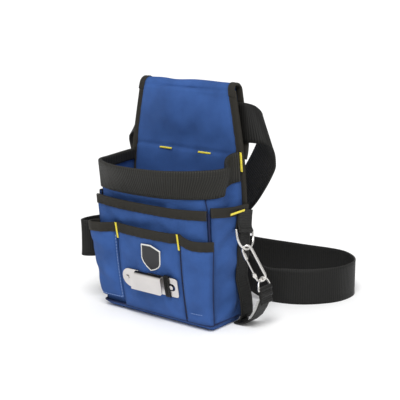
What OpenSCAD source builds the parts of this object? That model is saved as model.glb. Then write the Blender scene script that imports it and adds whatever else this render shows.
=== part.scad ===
// Electrician's tool pouch with a webbing belt, in millimetres.
// +X is the wearer's left-hand side as seen from the front, +Y points back to
// the wearer, +Z is up. The origin is the centre of the base, on the ground.

/* [Pouch] */
// Width of the base
base_w = 180; // [176:1:184]
// Front of the base, ahead of the origin
base_front = 29.3; // [29:0.1:30]
// Height of the back panel
back_h = 313; // [305:1:318]
// Height of the mouth at the front
rim_h = 207; // [205:1:209]
// Forward bow of the mouth
rim_bow = 35; // [32:1:36]
// Thickness of the sewn fabric panels
fabric_t = 2; // [1.6:0.1:2.2]

/* [Webbing] */
// Width of the waist belt
belt_w = 50; // [48:1:50]
// Thickness of the waist belt
belt_t = 2.2; // [1.8:0.1:2.4]
// Width of the webbing round the mouth
rim_webbing_w = 38; // [36:1:38]
// Width of the key loop
key_loop_w = 30; // [28:1:30]
// Width of the tape strap
tape_strap_w = 25; // [24:1:26]
// Width of the folded edge bindings
binding_w = 12; // [11:0.5:12]

/* [Hardware] */
// Wire radius of the D-ring and of the snap hook
wire_r = 1.6; // [1.4:0.1:1.6]
// Inside half-width of the D-ring, at the middle of its wire
ring_r = 18.4; // [18:0.1:18.6]
// Height of the belt buckle
buckle_h = 60; // [58:1:60]

/* [Hidden] */

blue = "#3560a8";
charcoal = "#37332e";
webbing = "#1e1e1c";
nickel = "#d8d4cc";
gap = 0.15;
eps = 0.002;

// ---- geometry helpers -------------------------------------------------

function lerp(a, b, t) = a + (b - a) * t;
function unit(v) = v / norm(v);
function clamp01(t) = min(max(t, 0), 1);

// Catmull-Rom value of the list p at s, where s runs over the list's indices
function along(p, s) =
  let (last = len(p) - 1, i = min(max(floor(s), 0), last - 1), t = s - i,
       a = p[max(i - 1, 0)], b = p[i], c = p[i + 1], d = p[min(i + 2, last)])
  0.5 * (2 * b + (c - a) * t + (2 * a - 5 * b + 4 * c - d) * t * t
         + (3 * b - a - 3 * c + d) * t * t * t);

// Unit normal of the surface f(u, v)
function normal_of(f, u, v) =
  let (du = f(clamp01(u + eps), v) - f(clamp01(u - eps), v),
       dv = f(u, clamp01(v + eps)) - f(u, clamp01(v - eps)))
  unit(cross(du, dv));

// Closed skin between two offsets of the surface f(u, v)
module skin(f, nu, nv, low, high) {
  row = nv + 1;
  count = (nu + 1) * row;
  points = [for (off = [high, low]) for (i = [0:nu]) for (j = [0:nv])
    f(i / nu, j / nv) + off * normal_of(f, i / nu, j / nv)];
  function at(i, j, side) = side * count + i * row + j;
  faces = concat(
    [for (i = [0:nu - 1]) for (j = [0:nv - 1]) each [
      [at(i, j, 0), at(i, j + 1, 0), at(i + 1, j + 1, 0)],
      [at(i, j, 0), at(i + 1, j + 1, 0), at(i + 1, j, 0)],
      [at(i, j, 1), at(i + 1, j + 1, 1), at(i, j + 1, 1)],
      [at(i, j, 1), at(i + 1, j, 1), at(i + 1, j + 1, 1)]]],
    [for (i = [0:nu - 1]) each [
      [at(i, 0, 0), at(i + 1, 0, 0), at(i + 1, 0, 1)],
      [at(i, 0, 0), at(i + 1, 0, 1), at(i, 0, 1)],
      [at(i, nv, 0), at(i + 1, nv, 1), at(i + 1, nv, 0)],
      [at(i, nv, 0), at(i, nv, 1), at(i + 1, nv, 1)]]],
    [for (j = [0:nv - 1]) each [
      [at(0, j, 0), at(0, j + 1, 1), at(0, j + 1, 0)],
      [at(0, j, 0), at(0, j, 1), at(0, j + 1, 1)],
      [at(nu, j, 0), at(nu, j + 1, 0), at(nu, j + 1, 1)],
      [at(nu, j, 0), at(nu, j + 1, 1), at(nu, j, 1)]]]);
  polyhedron(points, faces);
}

// Band of width w that follows frames [x, y, z, wx, wy, wz] from index s0 to s1
module band(frames, s0, s1, w, t, steps) {
  f = function (u, v)
    let (p = along(frames, lerp(s0, s1, u)))
    [p[0], p[1], p[2]] + (v - 0.5) * w * unit([p[3], p[4], p[5]]);
  skin(f, steps, 1, -t / 2, t / 2);
}

// ---- pouch surfaces ---------------------------------------------------

half_base = base_w / 2;
panel_foot = 4.3;
back_y = 25.2;

// Half-width of the back panel at height z
function back_half(z) = lookup(z, [[0, 90], [150, 99], [212, 95], [back_h, 78]]);

// Plan corners of the main body at height z
function left_x(z) = -lookup(z, [[0, half_base - 1], [159, 91.5], [rim_h, 94]]);
function right_x(z) = lookup(z, [[0, half_base - 1], [159, 89], [174, 84], [rim_h, 94]]);
function left_y(z) = -lookup(z, [[0, base_front - 1], [159, 41], [rim_h, 42]]);
function right_y(z) = -lookup(z, [[0, base_front - 1], [159, 40], [174, 37], [rim_h, 31]]);
function bow(z) = lookup(z, [[0, 0.5], [120, 3], [159, 6], [175, 16], [rim_h, rim_bow]]);

// Front of the main body: u runs from the left corner to the right one
function front_at(u, z) = [
  lerp(left_x(z), right_x(z), u),
  lerp(left_y(z), right_y(z), u) - bow(z) * (1 - pow(abs(2 * u - 1), 2.6)),
  z];

// Sides of the main body: u runs from the back to the front corner
function left_at(u, z) = [
  lerp(5 - back_half(z), left_x(z), u) - 1.5 * sin(180 * u) * z / rim_h,
  lerp(back_y, left_y(z), u), z];
// The right side bulges out near the mouth and is drawn in again beside the back
function right_fold(u) = lookup(u, [[0, 0], [0.15, 4], [0.28, 7], [0.38, 5.5], [0.5, -3],
  [0.62, -7], [0.78, -7.5], [1, 0]]);
function right_swell(z) = lookup(z, [[152, 0], [176, 1]]);
function right_at(u, z) = [
  lerp(right_x(z), back_half(z) - 5, u) + right_fold(u) * right_swell(z),
  lerp(right_y(z), back_y, u), z];

// Whole wall of the main body from left back round the front to right back
function wall_at(u, z) =
  u < 0.25 ? left_at(u * 4, z)
  : u < 0.75 ? front_at((u - 0.25) * 2, z)
  : right_at((u - 0.75) * 4, z);

// Top edge of the main body
function mouth_z(u) = lookup(u, [[0, 212], [0.25, rim_h], [0.75, 211], [0.86, 214], [0.92, 221], [1, 226]]);

// Second pocket, in front of the main body
second_top = 159;
function second_at(u, z) = [
  lerp(-half_base - 6 * z / second_top, half_base + 1, u),
  -lookup(z, [[0, base_front + 3.4], [second_top, 45]])
    - lookup(z, [[0, 1], [second_top, 11]]) * (1 - pow(abs(2 * u - 1), 2.6)),
  z];

// Three front pockets: depth at their top edge by x, and at their foot
front_top = 127;
screwdriver_right = -51;
middle_right = 55;
front_right = 97;
function pocket_top_y(x) = -lookup(x, [[-95, 60], [-90, 66], [-72, 69], [-56, 61], [-50, 56],
  [-40, 59], [0, 62], [42, 60], [54, 55], [62, 58], [76, 55], [86, 50], [93, 43.5], [97, 38]]);
function pocket_foot_y(x) = -lookup(x, [[-95, 35], [-80, 38.5], [70, 38.5], [86, 37.3], [92, 36], [97, 32]]);
function pocket_edge(x) = lookup(x, [[-95, 125], [-50, 128], [54, 128], [76, 122], [97, 121]]);
function pocket_at(x, z) = [
  x + (x < -60 ? (1 - z / front_top) * 4 : 0) - max(x - 86, 0) / 11 * (1 - z / front_top) * 4,
  lerp(pocket_foot_y(x), pocket_top_y(x), z / front_top), z];

// Side pockets: u runs from front to back
side_top = 160;
function side_at(u, z, side) = [
  side * (lookup(z, [[0, half_base + 1.6], [side_top, half_base + 3.5]])
    + lookup(z, [[0, 0.8], [side_top, 9]]) * pow(sin(90 * clamp01(u * 1.25)), 0.8)),
  lerp(-lookup(z, [[0, 29], [side_top, 41]]), back_y + 1.5, u), z];

// ---- base and back ----------------------------------------------------

module base_outline(inset) {
  translate([-half_base + inset, -base_front + inset])
    square([base_w - 2 * inset, 2 * base_front - 2 * inset]);
}

module base_panel() {
  color(blue) linear_extrude(2) base_outline(2);
}

module base_board() {
  color("#222222") translate([0, 0, 2 + gap]) linear_extrude(2) base_outline(4.5);
}

module base_piping() {
  color("#20305c") linear_extrude(4) difference() {
    base_outline(0);
    base_outline(2 - gap);
  }
}

module upright(y, t) {
  translate([0, y + t, 0]) rotate([90, 0, 0]) linear_extrude(t) children();
}

// Outline of the back between two heights, inset from its edge
module back_outline(z0, z1, inset) {
  heights = [z0, if (z0 < 150) 150, if (z0 < 212) 212, z1];
  polygon(concat(
    [for (z = heights) [back_half(z) - inset, z]],
    [for (i = [len(heights) - 1:-1:0]) [-back_half(heights[i]) + inset, heights[i]]]));
}

edge_w = 9;
module back_panel() {
  color(blue) upright(29, fabric_t) back_outline(panel_foot, back_h - 10, edge_w);
}

module back_stiffener() {
  color("#d8d8d0") upright(27.4, 1.4) back_outline(panel_foot + 2, back_h - 14, edge_w + 2);
}

module back_lining() {
  color(blue) upright(25.8, 1.4) back_outline(panel_foot, back_h - 10, edge_w);
}

// Folded edge binding of the back, on one side
module back_edge(side) {
  upright(25.4, 6) intersection() {
    difference() {
      back_outline(panel_foot, back_h - 10, 0);
      back_outline(panel_foot - 1, back_h - 9, edge_w - gap);
    }
    translate([side > 0 ? 0 : -200, 0]) square([200, 400]);
  }
}

module back_binding_left() {
  color(charcoal) back_edge(-1);
}

module back_binding_right() {
  color(charcoal) back_edge(1);
}

// Rolled top edge over the belt tunnel
fold_r = 7;
fold_y = 33;
module tunnel_fold() {
  color(blue) translate([0, fold_y + 2, back_h - fold_r - 2.85]) rotate([0, 90, 0])
    translate([0, 0, -78]) linear_extrude(156) difference() {
      circle(r = fold_r + 2.8);
      circle(r = fold_r);
      translate([0, -20]) square([20, 40]);
    }
}

flap_y = 42;
module flap_shape(low, high, inset) {
  f = function (u, v)
    let (z = lerp(low, high, v), x = (back_half(z) - inset) * lerp(1, -1, u))
    [x, lookup(z, [[214, 33], [240, flap_y], [302, 43.2]]), z];
  skin(f, 2, 8, -0.7, 0.7);
}

module tunnel_flap() {
  color(blue) flap_shape(216, back_h - 11, edge_w);
}

module tunnel_binding() {
  color(charcoal) for (side = [-1, 1]) {
    f = function (u, v)
      let (z = lerp(216, back_h - 11, v), x = side * (back_half(z) - (edge_w - gap) * (side > 0 ? u : 1 - u)))
      [x, lookup(z, [[214, 33.3], [240, flap_y], [302, 43.2]]), z];
    skin(f, 1, 8, -1.4, 1.4);
  }
}

// ---- main body --------------------------------------------------------

// Rows of the wall: nine up to the foot of the mouth band, then three behind it
mouth_drop = rim_webbing_w - 1;
module wall_part(u0, u1, nu, low, high) {
  f = function (u, v)
    let (w = lerp(u0, u1, u), top = mouth_z(w))
    wall_at(w, v < 0.75 ? lerp(panel_foot, top - mouth_drop, v / 0.75)
      : lerp(top - mouth_drop, top, (v - 0.75) * 4));
  skin(f, nu, 12, low, high);
}

module front_panel() {
  color(blue) wall_part(0.25 + 0.004, 0.75 - 0.004, 16, -1, 1);
}

module gusset_left() {
  color(blue) wall_part(0, 0.25 - 0.006, 8, -1, 1);
}

module gusset_right() {
  color(blue) wall_part(0.75 + 0.006, 1, 8, -1, 1);
}

// Band round the mouth, between two offsets from the wall
module mouth_band(drop, rows, low, high) {
  f = function (u, v)
    let (top = mouth_z(u) - gap)
    wall_at(u, lerp(top - drop, top, v));
  skin(f, 32, rows, low, high);
}

module rim_webbing() {
  color(charcoal) mouth_band(mouth_drop, 3, 1 + gap, 3);
}

module rim_lining_tape() {
  color(charcoal) mouth_band(mouth_drop / 3, 1, -2.4, -1 - gap);
}

// ---- pockets ----------------------------------------------------------

module second_part(z0, z1, low, high, nv) {
  f = function (u, v) second_at(lerp(0.01, 0.99, u), lerp(z0, z1, v));
  skin(f, 12, nv, low, high);
}

module second_pocket() {
  color(blue) second_part(panel_foot, second_top - binding_w - gap, -0.8, 0.8, 4);
}

module second_pocket_binding() {
  color(charcoal) second_part(second_top - binding_w, second_top, -1.6, 1.6, 1);
}

module side_part(side, z0, z1, low, high, nv) {
  f = function (u, v)
    let (s = side > 0 ? u : 1 - u)
    side_at(lerp(0.05, 0.99, s), lerp(z0, z1, v), side);
  skin(f, 8, nv, low, high);
}

module side_pocket_left() {
  color(blue) side_part(-1, panel_foot, side_top - binding_w - gap, -0.8, 0.8, 4);
}

module side_pocket_left_binding() {
  color(charcoal) side_part(-1, side_top - binding_w, side_top, -1.6, 1.6, 1);
}

module side_pocket_right() {
  color(blue) side_part(1, panel_foot, side_top - binding_w - gap, -0.8, 0.8, 4);
}

module side_pocket_right_binding() {
  color(charcoal) side_part(1, side_top - binding_w, side_top, -1.6, 1.6, 1);
}

module pocket_part(x0, x1, foot, nu) {
  f = function (u, v)
    let (x = lerp(x0, x1, u))
    pocket_at(x, lerp(foot, pocket_edge(x) - binding_w - gap, v));
  skin(f, nu, 4, -0.8, 0.8);
}

module screwdriver_pocket() {
  color(blue) pocket_part(-95, screwdriver_right - 0.6, 19, 7);
}

module middle_pocket() {
  color(blue) pocket_part(screwdriver_right + 0.6, middle_right - 0.6, 8, 8);
}

module right_pocket() {
  color(blue) pocket_part(middle_right + 0.6, front_right, 8, 8);
}

module front_pocket_binding() {
  f = function (u, v)
    let (x = lerp(-95, front_right, u), edge = pocket_edge(x))
    pocket_at(x, lerp(edge - binding_w, edge, v));
  color(charcoal) skin(f, 24, 1, -1.6, 1.6);
}

// ---- trim on the pouch ------------------------------------------------

module tack(centre, turn, length) {
  translate(centre) rotate(turn) translate([-length / 2, -0.6, -1.2]) cube([length, 1.2, 2.4]);
}

module bartacks() {
  color("#ead84a") {
    for (x = [-33, 33]) tack([x, 25.3 - 0.75, 219], [0, 0, 0], 22);
    tack([93.8, 24.6, 214], [0, 93, 0], 22);
    tack([screwdriver_right + 1, -58.7, 119], [0, 90, 0], 18);
    tack([middle_right - 1, -57.4, 119], [0, 90, 0], 18);
    tack([104.7, -2, 153.5], [0, 0, 90], 28);
  }
}

module badge_patch() {
  half = 16.5;
  tall = 39;
  color("#e8e6e0") translate([10.5, -58.0, 90]) rotate([12, 9, 0]) rotate([90, 0, 0]) linear_extrude(1.2)
    polygon(concat(
      [[-half, tall / 2 - 4], [0, tall / 2], [half, tall / 2 - 4]],
      [for (a = [0:10:180]) [half * cos(a), -2 - (tall / 2 - 2) * sin(a)]]));
}

// ---- tape clip --------------------------------------------------------

clip_x = 3.5;
clip_z = 55;
clip_tilt = 11.3;
plate_l = 95;
plate_h = 27;
tongue_l = 53;
tongue_h = 22;
module on_clip() {
  translate([clip_x, -52.2, clip_z]) rotate([clip_tilt, 0, 0]) children();
}

// Upright plate with round ends, from y0 forward
module round_plate(x0, x1, h, y0, t) {
  translate([0, y0, 0]) rotate([90, 0, 0]) linear_extrude(t) {
    translate([x0 + h / 2, 0]) circle(d = h);
    translate([x1 - 4, h / 2 - 4]) circle(r = 4);
    translate([x1 - 4, 4 - h / 2]) circle(r = 4);
    translate([x0 + h / 2, -h / 2]) square([x1 - x0 - h / 2 - 4, h]);
    translate([x1 - 4.01, 4 - h / 2]) square([4.01, h - 8]);
  }
}

module tape_clip_plate() {
  color(nickel) on_clip() difference() {
    round_plate(-plate_l / 2, plate_l / 2, plate_h, 0, 1.2);
    translate([plate_l / 2 - 9.6, 3, 0]) rotate([90, 0, 0]) linear_extrude(8) {
      circle(r = 5);
      translate([-4, -5]) square([4, 10]);
    }
    for (x = [-plate_l / 2 + 8, 37]) translate([x, 3, 0]) rotate([90, 0, 0]) cylinder(r = 2, h = 8);
  }
}

module tape_clip_rivets() {
  color(nickel) on_clip() for (x = [-plate_l / 2 + 8, 37]) translate([x, 0, 0]) rotate([90, 0, 0]) {
    translate([0, 0, -2]) cylinder(r = 1.9, h = 4);
    translate([0, 0, 1.35]) cylinder(r = 2.9, h = 1);
  }
}

module tape_clip_keeper() {
  color(webbing) on_clip() translate([30.5, 0, 0]) difference() {
    translate([-3.5, -2.6, -plate_h / 2 - 1.6]) cube([7, 4.2, plate_h + 3.2]);
    translate([-5, -1.3, -plate_h / 2 - 0.1]) cube([10, 1.5, plate_h + 0.2]);
  }
}

// Folded spring tongue with a diagonal corner, joined to the plate by its upper bend
module tape_clip_tongue() {
  color(nickel) on_clip() translate([-27, -1.35, 0]) {
    translate([0, -7.2, 0]) rotate([90, 0, 0]) linear_extrude(1.1)
      polygon([[8, tongue_h / 2], [0, tongue_h / 2 - 9], [0, -tongue_h / 2],
        [tongue_l - 3, -tongue_h / 2], [tongue_l, 3 - tongue_h / 2], [tongue_l, tongue_h / 2]]);
    translate([8, -4.25, tongue_h / 2]) rotate([0, 90, 0]) linear_extrude(tongue_l - 8)
      difference() {
        circle(r = 4.05);
        circle(r = 2.95);
        translate([0, -6]) square([6, 12]);
      }
    translate([8, -1.3, 3]) cube([tongue_l - 8, 1.1, tongue_h / 2 - 3]);
  }
}

// ---- tool loop on the left side --------------------------------------

tool_loop = [
  [-97.9, -26, 93, 0, 0, 1], [-106, -34, 93, 0, 0, 1], [-117, -44, 93, 0, 0, 1],
  [-126, -46, 93, 0, 0, 1], [-130, -36, 93, 0, 0, 1], [-128, -18, 93, 0, 0, 1],
  [-119, 0, 93, 0, 0, 1], [-109, 10, 93, 0, 0, 1], [-101.4, 14, 93, 0, 0, 1]];

module tool_loop_front() {
  color(webbing) band(tool_loop, 0, 2.5, belt_w, belt_t, 6);
}

module tool_loop_outer() {
  color(webbing) band(tool_loop, 2.5, 5.5, belt_w, belt_t, 8);
}

module tool_loop_rear() {
  color(webbing) band(tool_loop, 5.5, 8, belt_w, belt_t, 6);
}

// ---- key loop, D-ring and snap hook -----------------------------------

bar = [107, 13, 128];
bar_tilt = -12;
ring_out = -17;
ring_drop = 6;
module on_bar() {
  translate(bar) rotate([bar_tilt, 0, 0]) children();
}

module along_y(r, length) {
  rotate([90, 0, 0]) translate([0, 0, -length / 2]) cylinder(r = r, h = length);
}

module key_loop() {
  color(webbing) on_bar() difference() {
    union() {
      along_y(wire_r + 2, key_loop_w);
      translate([-wire_r - 2, -key_loop_w / 2, 0]) cube([3.2, key_loop_w, 22]);
    }
    along_y(wire_r + 0.08, key_loop_w + 2);
  }
}

// Ring that hangs from a straight bar at its top: half-width r, straight sides of length drop
module d_shape(r, drop, wire) {
  along_y(wire, 2 * r);
  for (side = [-1, 1]) translate([0, side * r, -drop]) {
    cylinder(r = wire, h = drop);
    translate([0, 0, drop]) sphere(r = wire);
  }
  translate([0, 0, -drop]) rotate([0, 90, 0]) rotate([0, 0, -90])
    rotate_extrude(angle = 180) translate([r, 0]) circle(r = wire);
}

module on_ring() {
  on_bar() rotate([0, ring_out, 0]) children();
}

module d_ring() {
  color(nickel) on_ring() d_shape(ring_r, ring_drop, wire_r);
}

hook_turn = [-5, -27, 40];
hook_origin = [114.1, 8.1, 105.2];
top_r = 5.8;
low_r = 6.2;
low_z = -40;
gate_x = -low_r;
gate_z = -36;
gate_top = -13;
sleeve_r = 2.3;
module on_hook() {
  translate(hook_origin) rotate(hook_turn) children();
}

// Wire from one point of the hook's plane to another
module rod(a, b, r) {
  run = b - a;
  translate([a[0], 0, a[1]]) rotate([0, atan2(run[0], run[1]), 0]) cylinder(r = r, h = norm(run));
}

module arc(centre, r, wire, start, sweep) {
  translate([centre[0], 0, centre[1]]) rotate([90, 0, 0]) rotate([0, 0, start])
    rotate_extrude(angle = sweep) translate([r, 0]) circle(r = wire);
}

module hook_body() {
  color(nickel) on_hook() difference() {
    union() {
      arc([0, -1.4], top_r, wire_r, 0, 180);
      rod([top_r, -1.4], [low_r, low_z], wire_r + 0.3);
      arc([0, low_z], low_r, wire_r, 180, 180);
      rod([-low_r, low_z], [gate_x, gate_z - 2.4], wire_r);
      translate([gate_x, 0, gate_z]) rotate([90, 0, 0]) translate([0, 0, -2.2]) cylinder(r = 2.6, h = 4.4);
      rod([-top_r, -1.4], [-top_r, -4], wire_r);
      rod([-top_r, -3.5], [-top_r - 0.3, gate_top + 0.6], sleeve_r);
      rod([gate_x, gate_z - 3.6], [gate_x, gate_z + 3.6], sleeve_r);
    }
    translate([gate_x, 0, gate_z]) rotate([90, 0, 0]) translate([0, 0, -5]) cylinder(r = 0.8, h = 10);
    translate([gate_x - 4, -1, gate_z - 1.9]) cube([8, 2, 6]);
  }
}

module hook_pin() {
  color(nickel) on_hook() translate([gate_x, 0, gate_z]) rotate([90, 0, 0])
    translate([0, 0, -2.6]) cylinder(r = 0.8, h = 5.2);
}

module hook_gate() {
  color(nickel) on_hook() difference() {
    union() {
      translate([gate_x, 0, gate_z]) rotate([90, 0, 0]) translate([0, 0, -0.7]) cylinder(r = 1.5, h = 1.4);
      translate([gate_x - 0.7, -0.7, gate_z]) cube([1.4, 1.4, 6]);
      rod([gate_x, gate_z + 5], [-top_r - 0.4, gate_top], 1.1);
    }
    translate([gate_x, 0, gate_z]) rotate([90, 0, 0]) translate([0, 0, -5]) cylinder(r = 0.85, h = 10);
  }
}

// ---- tape strap -------------------------------------------------------

// Stretch of the strap that is sewn flat down the side, below the key loop
side_strap_y = 20;
side_strap_top = 118;
module side_strap() {
  f = function (u, v)
    let (z = lerp(5, side_strap_top, v), y = side_strap_y + (u - 0.5) * tape_strap_w,
         foot = lookup(z, [[0, 29], [side_top, 41]]),
         p = side_at((y + foot) / (back_y + 1.5 + foot), z, 1))
    [p[0] + 1 + lookup(z, [[5, 8], [14, 12], [30, 10], [62, 0]]), y, z];
  color(webbing) skin(f, 4, 14, 0, 1.8);
}

strap_bar = [135.1, 19.5, 53.8];
strap_lean = -16;
strap_ring_r = 14;
strap_ring_drop = 0.5;
module on_strap_bar() {
  translate(strap_bar) rotate([0, strap_lean, 4]) children();
}

module strap_ring() {
  color(nickel) on_strap_bar() mirror([0, 0, 1]) d_shape(strap_ring_r, strap_ring_drop, 1.4);
}

module strap_end_loop() {
  color(webbing) on_strap_bar() difference() {
    union() {
      along_y(3.4, tape_strap_w);
      translate([-1.1, -tape_strap_w / 2, -8]) cube([2.2, tape_strap_w, 8]);
    }
    along_y(1.48, tape_strap_w + 2);
  }
}

tape_route = [
  [136.8, 19.7, 43, 0, 1, 0], [131, 20, 27, 0, 1, 0], [123.5, 20, 14.5, 0, 1, 0],
  [114, 20, 5.5, 0, 1, 0], [106, 20, 2.4, 0, 1, 0], [95.5, 20, 2.2, 0, 1, 0]];

module tape_strap() {
  color(webbing) band(tape_route, 0, 5, tape_strap_w, 2, 16);
}

// Blank tab sewn to the front edge of the strap
label_w = 8;
module strap_label() {
  f = function (u, v)
    let (p = along(tape_route, lerp(0, 2.1, u)))
    [p[0], p[1] - tape_strap_w / 2 - gap - v * label_w, p[2]];
  color("white") skin(f, 5, 1, -0.4, 0.4);
}

// ---- waist belt -------------------------------------------------------

// The belt is one strap, from the female half of the buckle round behind the pouch,
// up to its right-hand end, over in a soft fold, through the tunnel, over in a second
// fold, down to the ground and round the loop on its edge to the male half.
// Each frame is the middle of the strap and the direction across it.
belt_y = 37.2;
stand = belt_w / 2 + 0.3;
route = [
  [-181, 218.3, 30.3, 0, 0, 1], [-206, 212, 28, 0, 0, 1],
  [-228, 190, stand, 0, 0, 1], [-226, 160, stand, 0, 0, 1],
  [-200, 138, 27, -0.03, 0, 1], [-150, 121, 35, -0.18, 0, 0.98],
  [-85, 106, 58, -0.42, 0, 0.9], [-25, 92, 94, -0.62, 0, 0.78],
  [25, 78, 128, -0.72, 0.08, 0.69], [69, 63, 162, -0.76, 0.24, 0.6],
  [90, 59.5, 187, -0.79, 0.29, 0.53], [107, 58, 216, -0.75, 0.29, 0.6],
  [112, 57.5, 233, -0.6, 0.24, 0.77], [112.5, 54, 250, -0.48, 0.18, 0.86],
  [107.5, 46, 259.5, -0.4, 0.12, 0.9], [97, 39.5, 262, -0.2, 0.02, 0.98],
  [84, belt_y, 262.5, -0.03, 0, 1], [45, belt_y, 263, 0, 0, 1],
  [-45, belt_y, 263, 0, 0, 1], [-78, belt_y, 262.5, 0.08, 0, 1],
  [-90, 38.2, 261, 0.22, 0, 0.97], [-99, 44, 254, 0.4, 0, 0.92],
  [-104.5, 50, 243.5, 0.57, 0.12, 0.81], [-105, 55, 231, 0.7, 0.13, 0.7],
  [-100.5, 57.5, 215.5, 0.8, 0.12, 0.58], [-88, 58, 197, 0.8, 0.1, 0.59],
  [-62, 58.5, 165, 0.78, 0.06, 0.63], [-28, 61, 130, 0.72, 0.02, 0.69],
  [5, 70, 96, 0.65, 0, 0.76], [38, 88, 60, 0.48, -0.05, 0.87],
  [72, 108, 29, 0.15, -0.15, 0.97], [107, 122, stand, 0.02, 0, 1],
  [136, 143, stand, 0, 0, 1], [157, 178, stand, 0, 0, 1],
  [154, 220, stand, 0, 0, 1], [116, 250, stand, 0, 0, 1],
  [47, 243.5, stand, 0, 0, 1], [-20, 236, stand, 0, 0, 1],
  [-80, 230, 27.5, 0, 0, 1], [-119, 225.5, 30.3, 0, 0, 1]];

module belt_part(s0, s1, steps) {
  color(webbing) band(route, s0, s1, belt_w, belt_t, steps);
}

module belt_rear_turn() {
  belt_part(0, 4.5, 16);
}

module belt_right_drop() {
  belt_part(4.5, 10.5, 18);
}

module belt_right_fold() {
  belt_part(10.5, 16, 24);
}

module belt_tunnel_run() {
  belt_part(16, 19, 6);
}

module belt_left_fold() {
  belt_part(19, 25, 24);
}

module belt_left_drop() {
  belt_part(25, 30, 16);
}

module belt_front_run() {
  belt_part(30, 32.5, 8);
}

module belt_side_turn() {
  belt_part(32.5, 34.8, 10);
}

module belt_back_run() {
  belt_part(34.8, 39, 12);
}

// Doubled-back end of the belt beside the buckle
module belt_tail() {
  f = function (u, v)
    let (p = along(route, lerp(37.6, 38.85, u)))
    [p[0], p[1], p[2]] + (v - 0.5) * belt_w * [0, 0, 1];
  color(webbing) skin(f, 6, 1, 1.25, 3.25);
}

// ---- buckle -----------------------------------------------------------

buckle_at = [-150, 221.9, 30.3];
buckle_turn = 6.6;
half_h = buckle_h / 2 - 0.3;
prong_x = 25;
prong_z = 16;
module on_buckle() {
  translate(buckle_at) rotate([0, 0, buckle_turn]) children();
}

module rounded_box(x0, x1, t, h, r) {
  translate([0, t / 2, 0]) rotate([90, 0, 0]) linear_extrude(t) {
    translate([x0, -h / 2 + r]) square([x1 - x0, h - 2 * r]);
    translate([x0 + r, -h / 2]) square([x1 - x0 - 2 * r, h]);
    for (x = [x0 + r, x1 - r]) for (z = [r - h / 2, h / 2 - r]) translate([x, z]) circle(r = r);
  }
}

module buckle_female() {
  color("#242424") on_buckle() difference() {
    rounded_box(-31, 8, 12, 2 * half_h, 6);
    translate([-20, -4, -25]) cube([40, 8, 50]);
    for (side = [-1, 1]) translate([-6, -7, side * 27 - 5]) cube([9, 14, 10]);
    translate([-27, -7, -25.6]) cube([4, 14, 51.2]);
  }
}

module buckle_male() {
  color("#242424") on_buckle() {
    difference() {
      rounded_box(prong_x - 16.6, 31, 10, 2 * half_h - 2, 4);
      translate([23, -6, -25.6]) cube([4, 12, 51.2]);
      for (side = [-1, 1]) translate([0, -6, side * prong_z - 5]) cube([19, 12, 10]);
    }
    translate([-16, -2.5, -3]) cube([25, 5, 6]);
  }
}

module buckle_prong(side) {
  color("#242424") on_buckle() difference() {
    union() {
      translate([-2, -2.5, side * prong_z - 2]) cube([20.6, 5, 4]);
      translate([-5, -2.5, side > 0 ? prong_z - 2 : -28.5]) cube([7, 5, 14.5]);
    }
    translate([-8, -4, side > 0 ? 24.6 : -31.6]) cube([3.5, 8, 7]);
  }
}

module buckle_prong_lower() {
  buckle_prong(-1);
}

module buckle_prong_upper() {
  buckle_prong(1);
}

module belt_keeper() {
  color("#242424") translate([-66, 232.5, 26.95]) rotate([0, 0, 5.7]) difference() {
    translate([-6, -4.7, -26.9]) cube([12, 9.4, 53.8]);
    translate([-8, -3.2, -25.7]) cube([16, 6.4, 51.4]);
  }
}

// ---- nodes ------------------------------------------------------------

$fn = 48;
base_panel();
base_board();
base_piping();
back_panel();
back_stiffener();
back_lining();
back_binding_left();
back_binding_right();
tunnel_fold();
tunnel_flap();
tunnel_binding();
front_panel();
gusset_left();
gusset_right();
rim_webbing();
rim_lining_tape();
second_pocket();
second_pocket_binding();
side_pocket_left();
side_pocket_left_binding();
side_pocket_right();
side_pocket_right_binding();
screwdriver_pocket();
middle_pocket();
right_pocket();
front_pocket_binding();
bartacks();
badge_patch();
tape_clip_plate();
tape_clip_keeper();
tape_clip_rivets();
tape_clip_tongue();
tool_loop_front();
tool_loop_outer();
tool_loop_rear();
key_loop();
d_ring();
hook_body();
hook_pin();
hook_gate();
side_strap();
tape_strap();
strap_label();
strap_ring();
strap_end_loop();
belt_tunnel_run();
belt_right_fold();
belt_right_drop();
belt_rear_turn();
belt_back_run();
belt_side_turn();
belt_front_run();
belt_left_drop();
belt_left_fold();
belt_tail();
belt_keeper();
buckle_female();
buckle_male();
buckle_prong_lower();
buckle_prong_upper();
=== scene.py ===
import math
import bpy
import numpy as np
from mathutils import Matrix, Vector


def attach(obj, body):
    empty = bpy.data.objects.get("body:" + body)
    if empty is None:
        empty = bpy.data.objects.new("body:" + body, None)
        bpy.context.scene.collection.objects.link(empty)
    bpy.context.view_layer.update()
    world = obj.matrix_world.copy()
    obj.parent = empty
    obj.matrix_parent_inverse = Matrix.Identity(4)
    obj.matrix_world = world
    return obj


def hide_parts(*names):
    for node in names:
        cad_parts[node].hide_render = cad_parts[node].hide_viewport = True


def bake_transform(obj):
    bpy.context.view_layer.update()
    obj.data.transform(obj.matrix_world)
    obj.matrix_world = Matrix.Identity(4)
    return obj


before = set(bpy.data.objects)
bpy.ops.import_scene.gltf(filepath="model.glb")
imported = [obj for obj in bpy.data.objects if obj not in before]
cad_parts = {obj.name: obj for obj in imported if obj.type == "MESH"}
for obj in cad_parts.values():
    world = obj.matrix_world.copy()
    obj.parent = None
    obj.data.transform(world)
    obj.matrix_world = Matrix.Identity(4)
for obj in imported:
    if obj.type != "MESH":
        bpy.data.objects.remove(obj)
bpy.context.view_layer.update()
rng = np.random.RandomState(11)
MM = 0.001

# ---- camera ---------------------------------------------------------------


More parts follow.
